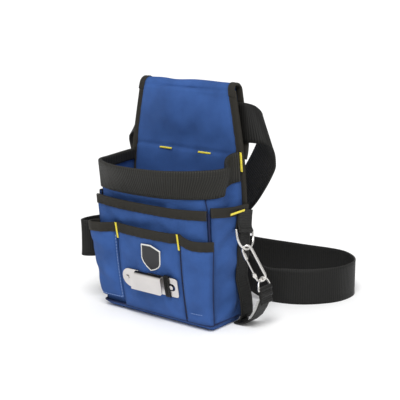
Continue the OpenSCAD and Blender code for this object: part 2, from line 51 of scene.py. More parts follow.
def set_camera():
    data = bpy.data.cameras.new("camera")
    data.lens = 90
    data.sensor_width = 36
    camera = bpy.data.objects.new("camera", data)
    camera.location = (0.8276, -0.9995, 0.4486)
    aim = Vector((0.04505, 0, 0.1614)) - camera.location
    camera.rotation_euler = aim.to_track_quat("-Z", "Y").to_euler()
    bpy.context.scene.collection.objects.link(camera)
    bpy.context.scene.camera = camera


set_camera()

# ---- small maths ----------------------------------------------------------


def vec(x, y, z):
    return np.stack(np.broadcast_arrays(x, y, z), -1).astype(float)


def lerp(a, b, t):
    return a + (b - a) * t


def curve(x, knots):
    """Smooth curve through (x, y) knots that never overshoots them."""
    xs, ys = np.array(knots, float).T
    h = np.diff(xs)
    slope = np.diff(ys) / h
    m = np.concatenate([slope[:1], np.zeros(len(xs) - 2), slope[-1:]])
    for i in range(1, len(xs) - 1):
        if slope[i - 1] * slope[i] > 0:
            m[i] = 2 * slope[i - 1] * slope[i] / (slope[i - 1] + slope[i])
    x = np.clip(x, xs[0], xs[-1])
    i = np.clip(np.searchsorted(xs, x, side="right") - 1, 0, len(xs) - 2)
    t = (x - xs[i]) / h[i]
    return (
        (1 + 2 * t) * (1 - t) ** 2 * ys[i]
        + t * (1 - t) ** 2 * h[i] * m[i]
        + t * t * (3 - 2 * t) * ys[i + 1]
        + t * t * (t - 1) * h[i] * m[i + 1]
    )


def along(frames, s):
    """Catmull-Rom value of the rows of frames at s, which runs over their indices."""
    p = np.array(frames, float)
    last = len(p) - 1
    i = np.clip(np.floor(s).astype(int), 0, last - 1)
    t = (s - i)[:, None]
    a, b, c, d = p[np.maximum(i - 1, 0)], p[i], p[i + 1], p[np.minimum(i + 2, last)]
    return 0.5 * (
        2 * b
        + (c - a) * t
        + (2 * a - 5 * b + 4 * c - d) * t**2
        + (3 * b - a - 3 * c + d) * t**3
    )


def unit(v):
    return v / np.maximum(np.linalg.norm(v, axis=-1, keepdims=True), 1e-9)


def arc(points):
    """Running length along a line of points."""
    step = np.linalg.norm(np.diff(points, axis=0), axis=-1)
    return np.concatenate([np.zeros_like(step[:1]), np.cumsum(step, axis=0)])


def resample(points, spacing):
    """The line again, with evenly spaced points."""
    s = arc(points)
    n = max(2, int(round(s[-1] / spacing)) + 1)
    t = np.linspace(0, s[-1], n)
    return np.stack([np.interp(t, s, points[:, k]) for k in range(points.shape[1])], -1)


def turned(points, origin, angles):
    """Points placed as a design frame is: turned about X, then Y, then Z, then moved."""
    a, b, c = np.radians(angles)
    rx = [[1, 0, 0], [0, math.cos(a), -math.sin(a)], [0, math.sin(a), math.cos(a)]]
    ry = [[math.cos(b), 0, math.sin(b)], [0, 1, 0], [-math.sin(b), 0, math.cos(b)]]
    rz = [[math.cos(c), -math.sin(c), 0], [math.sin(c), math.cos(c), 0], [0, 0, 1]]
    return points @ (np.array(rz) @ ry @ rx).T + np.array(origin)


def normals(P):
    return unit(np.cross(np.gradient(P, axis=0), np.gradient(P, axis=1)))


def border(P):
    """Lengths along both ways of a grid, and each point's distance from its border."""
    su = arc(P)
    sv = arc(np.swapaxes(P, 0, 1)).T
    edge = np.minimum(np.minimum(su, su[-1:] - su), np.minimum(sv, sv[:, -1:] - sv))
    return su, sv, edge


def wrinkled(P, height, size, hold=9.0, waves=14):
    """The grid with soft random folds that die out within `hold` mm of its border."""
    su, sv, edge = border(P)
    folds = np.zeros(su.shape)
    for _ in range(waves):
        angle = rng.uniform(0, math.pi)
        k = 2 * math.pi / (size * rng.uniform(0.6, 2.0))
        phase = rng.uniform(0, 2 * math.pi)
        folds += np.sin(k * (su * math.cos(angle) + sv * math.sin(angle)) + phase)
    folds *= height / 3.0 * (1 - np.exp(-((edge / hold) ** 2)))
    return P + normals(P) * folds[..., None]


# ---- mesh building --------------------------------------------------------


def make(name, verts, faces, mat, body="pouch", uv=None, edge=None, nodes=(), slot=None):
    mesh = bpy.data.meshes.new(name)
    mesh.from_pydata((np.asarray(verts) * MM).tolist(), [], [tuple(f) for f in faces])
    mesh.update()
    if uv is not None:
        index = np.empty(len(mesh.loops), int)
        mesh.loops.foreach_get("vertex_index", index)
        layer = mesh.uv_layers.new(name="cloth")
        layer.data.foreach_set("uv", (np.asarray(uv)[index] * MM).ravel())
    if edge is not None:
        layer = mesh.attributes.new("edge", "FLOAT", "POINT")
        layer.data.foreach_set("value", np.asarray(edge, float).ravel())
    mesh.polygons.foreach_set("use_smooth", [True] * len(mesh.polygons))
    for m in mat if isinstance(mat, (list, tuple)) else [mat]:
        mesh.materials.append(m)
    obj = bpy.data.objects.new(name, mesh)
    bpy.context.scene.collection.objects.link(obj)
    if body:
        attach(obj, body)
    if nodes:
        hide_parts(*nodes)
    return obj


def cloth(name, P, thick, mat, relief=None, even=False, **kw):
    """Solid sheet round the grid of points P, with soft rounded edges."""
    nu, nv = P.shape[:2]
    N = normals(P)
    su, sv, edge = border(P)
    if even:
        su = np.repeat(su[:, [nv // 3]], nv, 1)
    half = np.full((nu, nv), thick / 2.0) + (0 if relief is None else relief)
    top = P + N * half[..., None]
    low = P - N * half[..., None]
    grid = np.arange(nu * nv).reshape(nu, nv)
    a, b = grid[:-1, :-1].ravel(), grid[1:, :-1].ravel()
    c, d = grid[1:, 1:].ravel(), grid[:-1, 1:].ravel()
    count = nu * nv
    faces = [np.stack([a, b, c, d], 1), np.stack([a, d, c, b], 1) + count]
    ring = np.concatenate([grid[:-1, 0], grid[-1, :-1], grid[:0:-1, -1], grid[0, :0:-1]])
    after = np.roll(ring, -1)
    flat, flat_n = P.reshape(-1, 3), N.reshape(-1, 3)
    run = unit(flat[after] - flat[np.roll(ring, 1)])
    out = unit(np.cross(run, flat_n[ring]))
    middle = flat[ring] + out * thick * 0.35
    mid = np.arange(len(ring)) + 2 * count
    mid_after = np.roll(mid, -1)
    faces.append(np.stack([ring, mid, mid_after, after], 1))
    faces.append(np.stack([mid, ring + count, after + count, mid_after], 1))
    verts = np.concatenate([top.reshape(-1, 3), low.reshape(-1, 3), middle])
    uv = np.stack([su.ravel(), sv.ravel()], 1)
    uv = np.concatenate([uv, uv, uv[ring]])
    e = edge.ravel()
    e = np.concatenate([e, e, e[ring]])
    return make(name, verts, np.concatenate(faces), mat, uv=uv, edge=e, **kw)


def tube(name, path, radius, sides=10, **kw):
    """Navy cord along a path, with rounded ends: the base piping and a pocket seam, and dark cords
    painted in as the shadow along corner seams and gaps.
    """
    tangent = unit(np.gradient(path, axis=0))
    start = [path[0] - tangent[0] * radius * k for k in (0.9, 0.6)]
    end = [path[-1] + tangent[-1] * radius * k for k in (0.6, 0.9)]
    girth = radius * np.concatenate([[0.4, 0.8], np.ones(len(path)), [0.8, 0.4]])
    path = np.concatenate([start, path, end])
    tangent = np.concatenate([[tangent[0]] * 2, tangent, [tangent[-1]] * 2])
    side = np.cross(tangent[0], [0.3, 0.5, 0.8])
    frames = []
    for t in tangent:
        side = unit(side - t * np.dot(side, t))
        frames.append((side, np.cross(t, side)))
    frames = np.array(frames)
    angle = np.linspace(0, 2 * math.pi, sides, endpoint=False)
    ring = (
        frames[:, 0][:, None] * np.cos(angle)[None, :, None]
        + frames[:, 1][:, None] * np.sin(angle)[None, :, None]
    )
    verts = path[:, None] + ring * girth[:, None, None]
    grid = np.arange(len(path) * sides).reshape(len(path), sides)
    turn = np.roll(grid, -1, axis=1)
    quads = np.stack(
        [grid[:-1].ravel(), turn[:-1].ravel(), turn[1:].ravel(), grid[1:].ravel()], 1
    )
    faces = [tuple(q) for q in quads] + [tuple(grid[0][::-1]), tuple(grid[-1])]
    s = arc(path)
    uv = np.stack(np.broadcast_arrays(s[:, None], (angle * radius)[None]), -1)
    edge = np.full(verts.shape[:2], 20.0)
    return make(name, verts.reshape(-1, 3), faces, NAVY, uv=uv.reshape(-1, 2),
                edge=edge.ravel(), slot="navy_piping", **kw)


class Threads:
    """Collects sewn stitches of one colour, then builds them as one piece."""

    def __init__(self):
        self.runs = []

    def stitches(self, a, b, up, radius):
        t = np.array([0, 0.12, 0.35, 0.65, 0.88, 1.0])
        girth = np.array([0.45, 0.9, 1, 1, 0.9, 0.45]) * radius
        lift = np.array([-0.9, 0.0, 0.55, 0.55, 0.0, -0.9]) * radius
        line = a[:, None] + (b - a)[:, None] * t[:, None] + up[:, None] * lift[:, None]
        side = unit(np.cross(b - a, up))
        angle = np.linspace(0, 2 * math.pi, 6, endpoint=False)
        round_ = (
            side[:, None, None] * np.cos(angle)[:, None]
            + up[:, None, None] * np.sin(angle)[:, None]
        )
        self.runs.append(line[:, :, None] + round_ * girth[:, None, None])

    def seam(self, points, up, pitch=3.4, length=2.5, radius=0.27):
        """Running stitches along a line on a surface whose normals are up."""
        s = arc(points)
        starts = np.arange(pitch * 0.3, s[-1] - length, pitch)
        if len(starts) == 0:
            return

        def at(values, where):
            return np.stack([np.interp(where, s, values[:, k]) for k in range(3)], -1)

        jitter = rng.uniform(-0.08, 0.08, (len(starts), 3))
        self.stitches(
            at(points, starts) + jitter,
            at(points, starts + length) - jitter,
            unit(at(up, starts + length / 2)),
            radius,
        )

    def bartack(self, centre, run, up, length, width=2.7):
        """Dense bar of crosswise stitches over a few lengthwise ones."""
        centre, run, up = np.array(centre, float), unit(np.array(run, float)), np.array(up, float)
        up = unit(up - run * np.dot(up, run))
        side = np.cross(up, run)
        for k in (-0.32, 0, 0.32):
            a = centre - run * length / 2 + side * width * k
            self.stitches(a[None], (a + run * length)[None], up[None], 0.42)
        n = int(length / 0.72)
        at = np.linspace(-0.5, 0.5, n)[:, None] * length
        slant = 0.5 + rng.uniform(-0.12, 0.12, (n, 1))
        wide = width / 2 + rng.uniform(-0.15, 0.15, (n, 1))
        a = centre + run * (at - slant) - side * wide + up * 0.45
        b = centre + run * (at + slant) + side * wide + up * 0.45
        self.stitches(a, b, np.repeat(up[None], n, 0), 0.46)

    def build(self, name, mat, **kw):
        runs = np.concatenate(self.runs)
        m, rings, sides = runs.shape[:3]
        one = np.arange(rings * sides).reshape(rings, sides)
        turn = np.roll(one, -1, axis=1)
        quads = np.stack(
            [one[:-1].ravel(), one[1:].ravel(), turn[1:].ravel(), turn[:-1].ravel()], 1
        )
        base = (np.arange(m) * rings * sides)[:, None]
        faces = [tuple(q) for q in (quads[None] + base[..., None]).reshape(-1, 4)]
        faces += [tuple(q) for q in one[0][None] + base]
        faces += [tuple(q) for q in one[-1][::-1][None] + base]
        s = np.broadcast_to(np.arange(rings)[None, :, None] * 0.6, (m, rings, sides))
        v = np.broadcast_to(np.arange(sides)[None, None] * 0.3, (m, rings, sides))
        uv = np.stack([s.ravel(), v.ravel()], 1)
        return make(name, runs.reshape(-1, 3), faces, mat, uv=uv, **kw)


# ---- materials ------------------------------------------------------------


class Shader:
    """A Principled material, built by naming sockets."""

    def __init__(self, name, **values):
        self.mat = bpy.data.materials.new(name)
        self.mat.use_nodes = True
        self.tree = self.mat.node_tree
        self.bsdf = self.tree.nodes["Principled BSDF"]
        for key, value in values.items():
            self.put(self.bsdf.inputs[key.replace("_", " ")], value)

    def put(self, socket, value):
        if isinstance(value, bpy.types.NodeSocket):
            self.tree.links.new(value, socket)
        elif isinstance(value, tuple) and len(value) == 3 and socket.type == "RGBA":
            socket.default_value = (*value, 1)
        else:
            socket.default_value = value

    def node(self, kind, out=0, **values):
        node = self.tree.nodes.new("ShaderNode" + kind)
        for key, value in values.items():
            if hasattr(node, key) and not isinstance(value, bpy.types.NodeSocket):
                setattr(node, key, value)
            else:
                self.put(node.inputs[key.replace("_", " ")], value)
        return node.outputs[out]

    def calc(self, operation, a, b=0.0, c=0.0):
        node = self.tree.nodes.new("ShaderNodeMath")
        node.operation = operation
        for socket, value in zip(node.inputs, (a, b, c)):
            self.put(socket, value)
        return node.outputs[0]

    def wave(self, where, pitch):
        return self.calc("SINE", self.calc("MULTIPLY", where, math.pi / pitch))

    def times(self, tone, value, gain, base):
        """tone times (value * gain + base)."""
        return self.calc("MULTIPLY", tone, self.calc("MULTIPLY_ADD", value, gain, base))

    def split(self, vector):
        node = self.tree.nodes.new("ShaderNodeSeparateXYZ")
        self.put(node.inputs[0], vector)
        return node.outputs

    def mix(self, factor, a, b):
        node = self.tree.nodes.new("ShaderNodeMix")
        node.data_type = "RGBA"
        for index, value in ((0, factor), (6, a), (7, b)):
            self.put(node.inputs[index], value)
        return node.outputs[2]

    def scaled(self, colour, amount):
        """colour times the grey amount."""
        node = self.tree.nodes.new("ShaderNodeMix")
        node.data_type = "RGBA"
        node.blend_type = "MULTIPLY"
        self.put(node.inputs[0], 1.0)
        self.put(node.inputs[6], colour)
        self.put(node.inputs[7], self.node("CombineColor", Red=amount, Green=amount, Blue=amount))
        return node.outputs[2]

    def cloth_uv(self):
        """Metres along and across the cloth."""
        u, v, _ = self.split(self.node("UVMap", uv_map="cloth"))
        return u, v

    def noise(self, scale, detail=3.0, where=None):
        place = where or self.node("TexCoord", out=3)
        return self.node("TexNoise", Vector=place, Scale=scale, Detail=detail)

    def edge(self, reach):
        """0 at the piece's border, 1 beyond reach mm."""
        edge = self.node("Attribute", out=2, attribute_name="edge")
        return self.node("MapRange", Value=edge, From_Min=0.0, From_Max=reach)

    def bump(self, height, distance, strength=1.0):
        normal = self.node("Bump", Height=height, Distance=distance, Strength=strength)
        self.put(self.bsdf.inputs["Normal"], normal)


def woven(name, colour, light, pitch=0.00075, rough=0.8, sheen=0.35, worn=0.25):
    """Plain weave: warp and weft threads that pass over each other in turn."""
    s = Shader(name, Roughness=rough, Specular_IOR_Level=0.25, Sheen_Weight=sheen,
               Sheen_Roughness=0.45, Sheen_Tint=light)
    u, v = s.cloth_uv()
    wobble = s.calc("MULTIPLY", s.noise(160.0), 0.0006)
    a = s.wave(s.calc("ADD", u, wobble), pitch)
    b = s.wave(s.calc("ADD", v, wobble), pitch)
    over = s.calc("GREATER_THAN", s.calc("MULTIPLY", a, b), 0.0)
    warp, weft = s.calc("ABSOLUTE", a), s.calc("ABSOLUTE", b)
    height = s.calc("MULTIPLY_ADD", over, s.calc("SUBTRACT", warp, weft), weft)
    yarn = s.noise(1400.0, 2.0)
    patch = s.noise(30.0, 5.0)
    tone = s.calc("MULTIPLY_ADD", height, 0.55, 0.58)
    tone = s.times(tone, yarn, 0.3, 0.87)
    tone = s.times(tone, patch, 0.7, 0.65)
    # Painted shade: the cloth is darkened within 6 mm of each piece's border, along its seams.
    tone = s.times(tone, s.edge(6.0), 0.30, 0.72)
    faded = s.calc("MULTIPLY", s.calc("MULTIPLY", over, patch), worn)
    s.put(s.bsdf.inputs["Base Color"], s.scaled(s.mix(faded, colour, light), tone))
    s.bump(s.calc("ADD", height, s.calc("MULTIPLY", yarn, 0.35)), 0.00022, 0.8)
    return s.mat


def ribbed(name, colour, light, pitch=0.0026, rough=0.5, fine=0.0013):
    """Webbing or tape: ribs across the length, with fine yarns lying in them."""
    s = Shader(name, Roughness=rough, Specular_IOR_Level=0.25, Sheen_Weight=0.04,
               Sheen_Roughness=0.4, Sheen_Tint=light)
    u, v = s.cloth_uv()
    rib = s.calc("ABSOLUTE", s.wave(u, pitch))
    yarn = s.calc("ABSOLUTE", s.wave(v, fine))
    grain = s.noise(1100.0, 2.0)
    patch = s.noise(26.0, 3.0)
    tone = s.calc("MULTIPLY_ADD", rib, 0.85, 0.22)
    tone = s.times(tone, yarn, 0.25, 0.84)
    tone = s.times(tone, grain, 0.4, 0.8)
    tone = s.times(tone, patch, 0.3, 0.85)
    wear = s.calc("MULTIPLY", s.calc("SUBTRACT", 1.0, s.edge(1.6)), 0.35)
    s.put(s.bsdf.inputs["Base Color"], s.scaled(s.mix(wear, colour, light), tone))
    height = s.calc("ADD", s.calc("MULTIPLY", rib, 0.7), s.calc("MULTIPLY", yarn, 0.5))
    s.bump(s.calc("ADD", height, s.calc("MULTIPLY", grain, 0.3)), 0.0004, 0.9)
    return s.mat


def thread(name, colour, light):
    """Twisted sewing thread."""
    s = Shader(name, Roughness=0.5, Specular_IOR_Level=0.4, Sheen_Weight=0.3, Sheen_Tint=light)
    u, v = s.cloth_uv()
    twist = s.calc("SINE", s.calc("MULTIPLY", s.calc("MULTIPLY_ADD", v, 1.6, u), 9000.0))
    tone = s.calc("MULTIPLY_ADD", twist, 0.12, 0.9)
    tone = s.times(tone, s.noise(500.0), 0.3, 0.85)
    s.put(s.bsdf.inputs["Base Color"], s.scaled(colour, tone))
    s.bump(twist, 0.00008, 0.6)
    return s.mat


def plated(name, colour, rough, brushed_and_top_shaded):
    """Nickel plating with handling marks; a brushed sheet runs along X and has a painted dark reflection
    on its upward faces.
    """
    s = Shader(name, Metallic=1.0)
    place = s.node("TexCoord", out=3)
    stretch = (60.0, 900.0, 900.0) if brushed_and_top_shaded else (700.0, 700.0, 700.0)
    lines = s.noise(1.0, 3.0, s.node("Mapping", Vector=place, Scale=stretch))
    smudge = s.noise(45.0, 4.0)
    tone = s.calc("MULTIPLY_ADD", smudge, 0.24, 0.86)
    if brushed_and_top_shaded:
        # Painted reflection: faces of the sheet that point up are darkened, as if they mirrored a dark
        # room.
        upward = s.split(s.node("NewGeometry", out=1))[2]
        shade = s.node("MapRange", Value=upward, From_Min=0.42, From_Max=0.72, To_Min=1.0, To_Max=0.05)
        tone = s.calc("MULTIPLY", tone, shade)
    s.put(s.bsdf.inputs["Base Color"], s.scaled(colour, tone))
    grit = s.calc("MULTIPLY_ADD", lines, 0.16, rough - 0.08)
    s.put(s.bsdf.inputs["Roughness"], s.calc("MULTIPLY_ADD", smudge, 0.12, grit))
    s.bump(lines, 0.00006 if brushed_and_top_shaded else 0.00003, 0.5)
    return s.mat


def moulded(name, colour, light, rough=0.42):
    """Fine-grained moulded plastic with rubbed patches."""
    s = Shader(name, Specular_IOR_Level=0.45)
    grain = s.noise(1900.0, 2.0)
    rub = s.noise(60.0, 4.0)
    s.put(s.bsdf.inputs["Base Color"], s.mix(s.calc("MULTIPLY", rub, 0.4), colour, light))
    s.put(s.bsdf.inputs["Roughness"], s.calc("MULTIPLY_ADD", rub, 0.2, rough - 0.1))
    s.bump(grain, 0.00012, 0.5)
    return s.mat


BLUE = woven("blue_oxford", (0.031, 0.090, 0.290), (0.082, 0.168, 0.425), sheen=0.08)
NAVY = woven("navy_cord", (0.012, 0.020, 0.070), (0.03, 0.05, 0.14))
TAPE = ribbed("charcoal_tape", (0.030, 0.027, 0.021), (0.075, 0.068, 0.055), 0.0014, 0.72, 0.0007)
RIM = ribbed("charcoal_webbing", (0.022, 0.0213, 0.0178), (0.062, 0.058, 0.048), 0.0033)
WEBBING = ribbed("black_webbing", (0.0075, 0.0073, 0.0064), (0.027, 0.0263, 0.0236), 0.0032)
YELLOW = thread("yellow_thread", (0.95, 0.80, 0.07), (1.0, 0.9, 0.4))
SKY = thread("light_blue_thread", (0.30, 0.45, 0.80), (0.5, 0.65, 0.9))
BLACK_THREAD = thread("black_thread", (0.022, 0.021, 0.018), (0.1, 0.1, 0.09))
WIRE = plated("nickel_wire", (0.74, 0.72, 0.69), 0.2, False)
PLATE = plated("nickel_sheet", (0.70, 0.67, 0.645), 0.34, True)
PLASTIC = moulded("black_plastic", (0.012, 0.012, 0.013), (0.035, 0.035, 0.036))
FIELD = moulded("badge_field", (0.010, 0.010, 0.012), (0.028, 0.028, 0.03), 0.5)
BORDER = moulded("badge_border", (0.66, 0.65, 0.61), (0.78, 0.77, 0.74), 0.45)
BOARD = moulded("stiffener_board", (0.05, 0.05, 0.055), (0.08, 0.08, 0.085), 0.6)
LABEL = woven("white_satin", (0.72, 0.72, 0.70), (0.9, 0.9, 0.88), 0.0004, 0.5, 0.2)

dark = Threads()
sky = Threads()
yellow = Threads()

# ---- sizes in mm ----------------------------------------------------------

RIM_H = 207
BELT_W, KEY_LOOP_W, STRAP_W = 50, 30, 25
BAND_OUT, BAND_IN = 37, 14
BINDING_OUT, BINDING_IN = 12, 11
WALL_TOP, WALL_COLUMNS, WALL_ROWS = 232, 480, 116
BLUR_REACH, BLUR_SIGMA = 24, 8.0
POCKET_H = 127.0
LEFT_SEAM, RIGHT_SEAM = -51.0, 55.5

# ---- surfaces of the pouch ------------------------------------------------


def back_half(z):
    return curve(z, [(0, 90), (150, 99), (212, 95), (313, 78)])


def left_x(z):
    return -curve(z, [(0, 89), (159, 91.5), (207, 94)])


def right_x(z):
    return curve(z, [(0, 89), (159, 89), (174, 84), (207, 94), (232, 95)])


def left_y(z):
    return -curve(z, [(0, 28.3), (159, 41), (207, 42)])


def right_y(z):
    return -curve(z, [(0, 28.3), (159, 40), (174, 37), (207, 31), (232, 30)])


def bow(z):
    return curve(z, [(0, 0.5), (120, 3), (159, 6), (175, 16), (207, 35), (232, 40)])


def right_fold(u):
    """The right side bulges out near the mouth and is drawn in again beside the back."""
    return curve(u, [(0, 0), (0.15, 4), (0.28, 7), (0.38, 5.5), (0.5, -3), (0.62, -7),
                     (0.78, -7.5), (1, 0)])


def wall_raw(u, z):
    """Main body from left back round the front to right back."""
    a, b, c = (np.clip(x, 0, 1) for x in (u * 4, (u - 0.25) * 2, (u - 0.75) * 4))
    swell = 1.5 * z / RIM_H
    left = vec(lerp(5 - back_half(z), left_x(z), a) - swell * np.sin(math.pi * a),
               lerp(25.2, left_y(z), a), z)
    front = vec(lerp(left_x(z), right_x(z), b),
                lerp(left_y(z), right_y(z), b) - bow(z) * (1 - np.abs(2 * b - 1) ** 2.6), z)
    folded_in = right_fold(c) * curve(z, [(152, 0), (176, 1)])
    right = vec(lerp(right_x(z), back_half(z) - 5, c) + folded_in,
                lerp(right_y(z), 25.2, c), z)
    u = np.broadcast_to(u, front.shape[:-1])[..., None]
    return np.where(u < 0.25, left, np.where(u < 0.75, front, right))


def smooth_table():
    """Grid of wall points, blurred round the body so that the cloth turns softly."""
    us, zs = np.linspace(0, 1, WALL_COLUMNS + 1), np.linspace(0, WALL_TOP, WALL_ROWS + 1)
    table = wall_raw(us[None, :], zs[:, None])
    before = 2 * table[:, :1] - table[:, BLUR_REACH:0:-1]
    after = 2 * table[:, -1:] - table[:, -2:-BLUR_REACH - 2:-1]
    wide = np.concatenate([before, table, after], 1)
    weights = np.exp(-0.5 * (np.arange(-BLUR_REACH, BLUR_REACH + 1) / BLUR_SIGMA) ** 2)
    weights /= weights.sum()
    return sum(w * wide[:, k:k + WALL_COLUMNS + 1] for k, w in enumerate(weights))


WALL = smooth_table()


def wall(u, z):
    """Main body's surface, read from the smoothed grid."""
    u, z = np.broadcast_arrays(u, z)
    a = np.clip(z / (WALL_TOP / WALL_ROWS), 0, WALL_ROWS - 0.001)
    b = np.clip(u * WALL_COLUMNS, 0, WALL_COLUMNS - 0.001)
    i, j = a.astype(int), b.astype(int)
    s, t = (a - i)[..., None], (b - j)[..., None]
    low = lerp(WALL[i, j], WALL[i, j + 1], t)
    high = lerp(WALL[i + 1, j], WALL[i + 1, j + 1], t)
    return lerp(low, high, s)


def mouth_z(u):
    """Height of the mouth's edge round the body."""
    return curve(u, [(0, 212), (0.25, RIM_H), (0.5, 207.5), (0.75, 211), (0.86, 214), (0.92, 221),
                     (1, 226)])


def second(u, z):
    """Second pocket, in front of the main body."""
    x = lerp(-90 - 6 * z / 159, 91, u)
    crown = curve(z, [(0, 1), (159, 11)]) * (1 - np.abs(2 * u - 1) ** 2.6)
    return vec(x, -curve(z, [(0, 32.7), (159, 45)]) - crown, z)


def second_top(u):
    return curve(u, [(0, 159), (0.7, 159), (1, 161)])


def side_top(u):
    return curve(u, [(0, 164.5), (0.3, 162), (0.6, 160.5), (1, 160)])


def side(u, z, sign):
    """Side pocket, from its front edge to its back edge."""
    out = curve(z, [(0, 91.6), (160, 93.5)])
    bulge = curve(z, [(0, 0.8), (160, 9)]) * np.sin(math.pi / 2 * np.clip(1.25 * u, 0, 1)) ** 0.8
    return vec(sign * (out + bulge), lerp(-curve(z, [(0, 29), (160, 41)]), 26.7, u), z)


# q across the front, then x and the distance forward at that q
POCKET_TOP = [(-108, -94.5, 44), (-102, -97.5, 52), (-95, -96, 60.5), (-90, -91.5, 66),
              (-82, -82, 69), (-72, -72, 69), (-56, -56, 61), (-50, -50, 56), (-40, -40, 59),
              (0, 0, 62), (42, 42, 60), (54, 54, 55), (62, 62, 58), (76, 76, 55), (86, 86.5, 49.8),
              (92, 93, 43.5), (97, 96.8, 38.2)]
POCKET_FOOT = [(-108, -90.8, 33), (-102, -91.4, 34.5), (-95, -91, 36.3), (-90, -87.5, 37.6),
               (-80, -78.5, 38.5), (70, 70, 38.5), (86, 86, 37.3), (92, 91.3, 36), (97, 93.6, 32.5)]


def pocket(q, z):
    """Three front pockets in one sheet: q is close to x across the front."""
    t = z / POCKET_H
    foot_x, top_x = (curve(q, [(a, b) for a, b, _ in knots]) for knots in (POCKET_FOOT, POCKET_TOP))
    foot_y, top_y = (curve(q, [(a, c) for a, _, c in knots]) for knots in (POCKET_FOOT, POCKET_TOP))
    belly = 2.8 * np.sin(math.pi * np.clip(t, 0, 1))
    return vec(lerp(foot_x, top_x, t), -lerp(foot_y, top_y, t) - belly, z)


def pocket_edge(q):
    return curve(q, [(-108, 123.5), (-95, 125), (-50, 128), (54, 128), (76, 122), (97, 121)])


def normal_at(S, u, z, du):
    """Unit normal of the surface S."""
    return unit(np.cross(S(u + du, z) - S(u - du, z), S(u, z + 1.0) - S(u, z - 1.0)))


def level(z):
    """A foot line at one height."""
    return lambda u: z + 0 * u


# ---- sewing helpers -------------------------------------------------------


SHORT_BEND = (25, 55, 90, 125, 155)
ROUND_BEND = (20, 45, 70, 90, 110, 135, 160)


def folded(outer, inner, gap, bend, outer_rows=6, inner_rows=6):
    """Section of a tape folded over an edge: depth below the edge, and height off the cloth."""
    bend = np.radians(bend)
    depth = np.concatenate([np.linspace(outer, gap, outer_rows), gap - gap * np.sin(bend),
                            np.linspace(gap, inner, inner_rows)])
    shift = np.concatenate([np.full(outer_rows, gap), gap * np.cos(bend), np.full(inner_rows, -gap)])
    return depth, shift


def edge_tape(name, S, us, top, outer, inner, gap, thick, mat, du, sign=1.0, ripple=0.2,
              rib=None, seams=(2.0,), **kw):
    """Tape folded over the top edge of the surface S along us, and sewn through."""
    depth, shift = folded(outer, inner, gap, SHORT_BEND, 9, 7)
    z = top(us)[:, None] - depth[None]
    N = normal_at(S, us[:, None], np.minimum(z, top(us)[:, None] - 1.0), du) * sign
    P = S(us[:, None], z) + N * shift[None, :, None]
    length = arc(P[:, 0])[:, None]
    low = np.concatenate([np.linspace(1, 0, 9) ** 2, np.zeros(5), np.linspace(0, 1, 7) ** 2])
    wave = np.sin(length * 2 * math.pi / 9.0) + 0.7 * np.sin(length * 2 * math.pi / 23.0 + 1)
    P = P + N * (ripple * wave * low[None] * np.sign(shift)[None])[..., None]
    relief = None
    if rib:
        middle = arc(P[:, P.shape[1] // 3])[:, None]
        relief = 0.3 * np.abs(np.sin(math.pi * middle / rib)) * np.ones(P.shape[:2])
    obj = cloth(name, P, thick, mat, relief=relief, even=True, **kw)
    for inset in seams:
        z = top(us) - (outer - inset)
        up = normal_at(S, us, z, du) * sign
        dark.seam(S(us, z) + up * (gap + thick / 2 + 0.12), up)
    return obj


def panel(name, S, us, foot, top, rows, thick, fold, covered=12, grooves=(), **kw):
    """Fabric panel on the surface S, flat under the tape that covers its top, with soft
    folds below it and pressed-in seams."""
    z = lerp(foot(us)[:, None], top(us)[:, None], np.linspace(0, 1, rows)[None])
    flat = S(us[:, None], z)
    below = (top(us)[:, None] - z - covered) / 14.0
    free = curve(np.clip(below, 0, 1), [(0, 0), (0.5, 0.45), (1, 1)])
    P = flat + (wrinkled(flat, *fold) - flat) * free[..., None]
    N = normals(P)
    for at, width, deep in grooves:
        dip = deep * np.exp(-(((us - at) / width) ** 2))
        P = P - N * dip[:, None, None]
    return cloth(name, P, thick, BLUE, slot="blue_fabric", **kw)


def framed(line, across):
    """Frames for ribbon: the line's points, all with the same direction across."""
    return np.concatenate([line, np.tile(across, (len(line), 1))], 1)


def ribbon(name, frames, width, thick, span=None, pitch=3.2, across=9, bulge=0.0, shift=0.0,
           relief=0.15, **kw):
    """Black webbing along frames (x, y, z and the direction across), ribbed in relief."""
    s0, s1 = span or (0, len(frames) - 1)
    rough = along(frames, np.linspace(s0, s1, 600))
    s = arc(rough[:, :3])
    n = max(24, int(s[-1] / (pitch / 4)))
    even = np.interp(np.linspace(0, s[-1], n), s, np.linspace(s0, s1, 600))
    p = along(frames, even)
    v = np.linspace(-0.5, 0.5, across)
    P = p[:, None, :3] + unit(p[:, 3:])[:, None] * (v * width)[None, :, None]
    P = P + normals(P) * (shift + bulge * (1 - (2 * v) ** 2))[None, :, None]
    length = arc(p[:, :3])[:, None]
    rise = relief * np.abs(np.sin(math.pi * length / pitch)) * np.ones((1, across))
    rise[:, [0, -1]] += 0.18
    return cloth(name, P, thick, WEBBING, relief=rise, even=True, slot="black_webbing", **kw), P


def row_seam(threads, P, column, lift, **kw):
    """Stitches along one column of a grid."""
    N = normals(P)[:, column]
    threads.seam(P[:, column] + N * lift, N * np.sign(lift), **kw)


# ---- base -----------------------------------------------------------------


def base_line(flare):
    """Outline of the base, starting at the middle of the back; flare is 0 at the floor."""
    x, front, back, r = 90 + 2.3 * flare, 30.3 + 8.0 * flare, 29.3, 5.0
    corners = [(-x + r, back - r, 180), (-x + r, -front + r, 270), (x - r, -front + r, 360),
               (x - r, back - r, 90)]
    points = [(0, back)]
    for cx, cy, end in corners:
        for a in np.radians(np.linspace(end - 90, end, 9)):
            points.append((cx + r * math.cos(a), cy + r * math.sin(a)))
    points.append((0, back))
    return resample(np.array(points), 2.0)


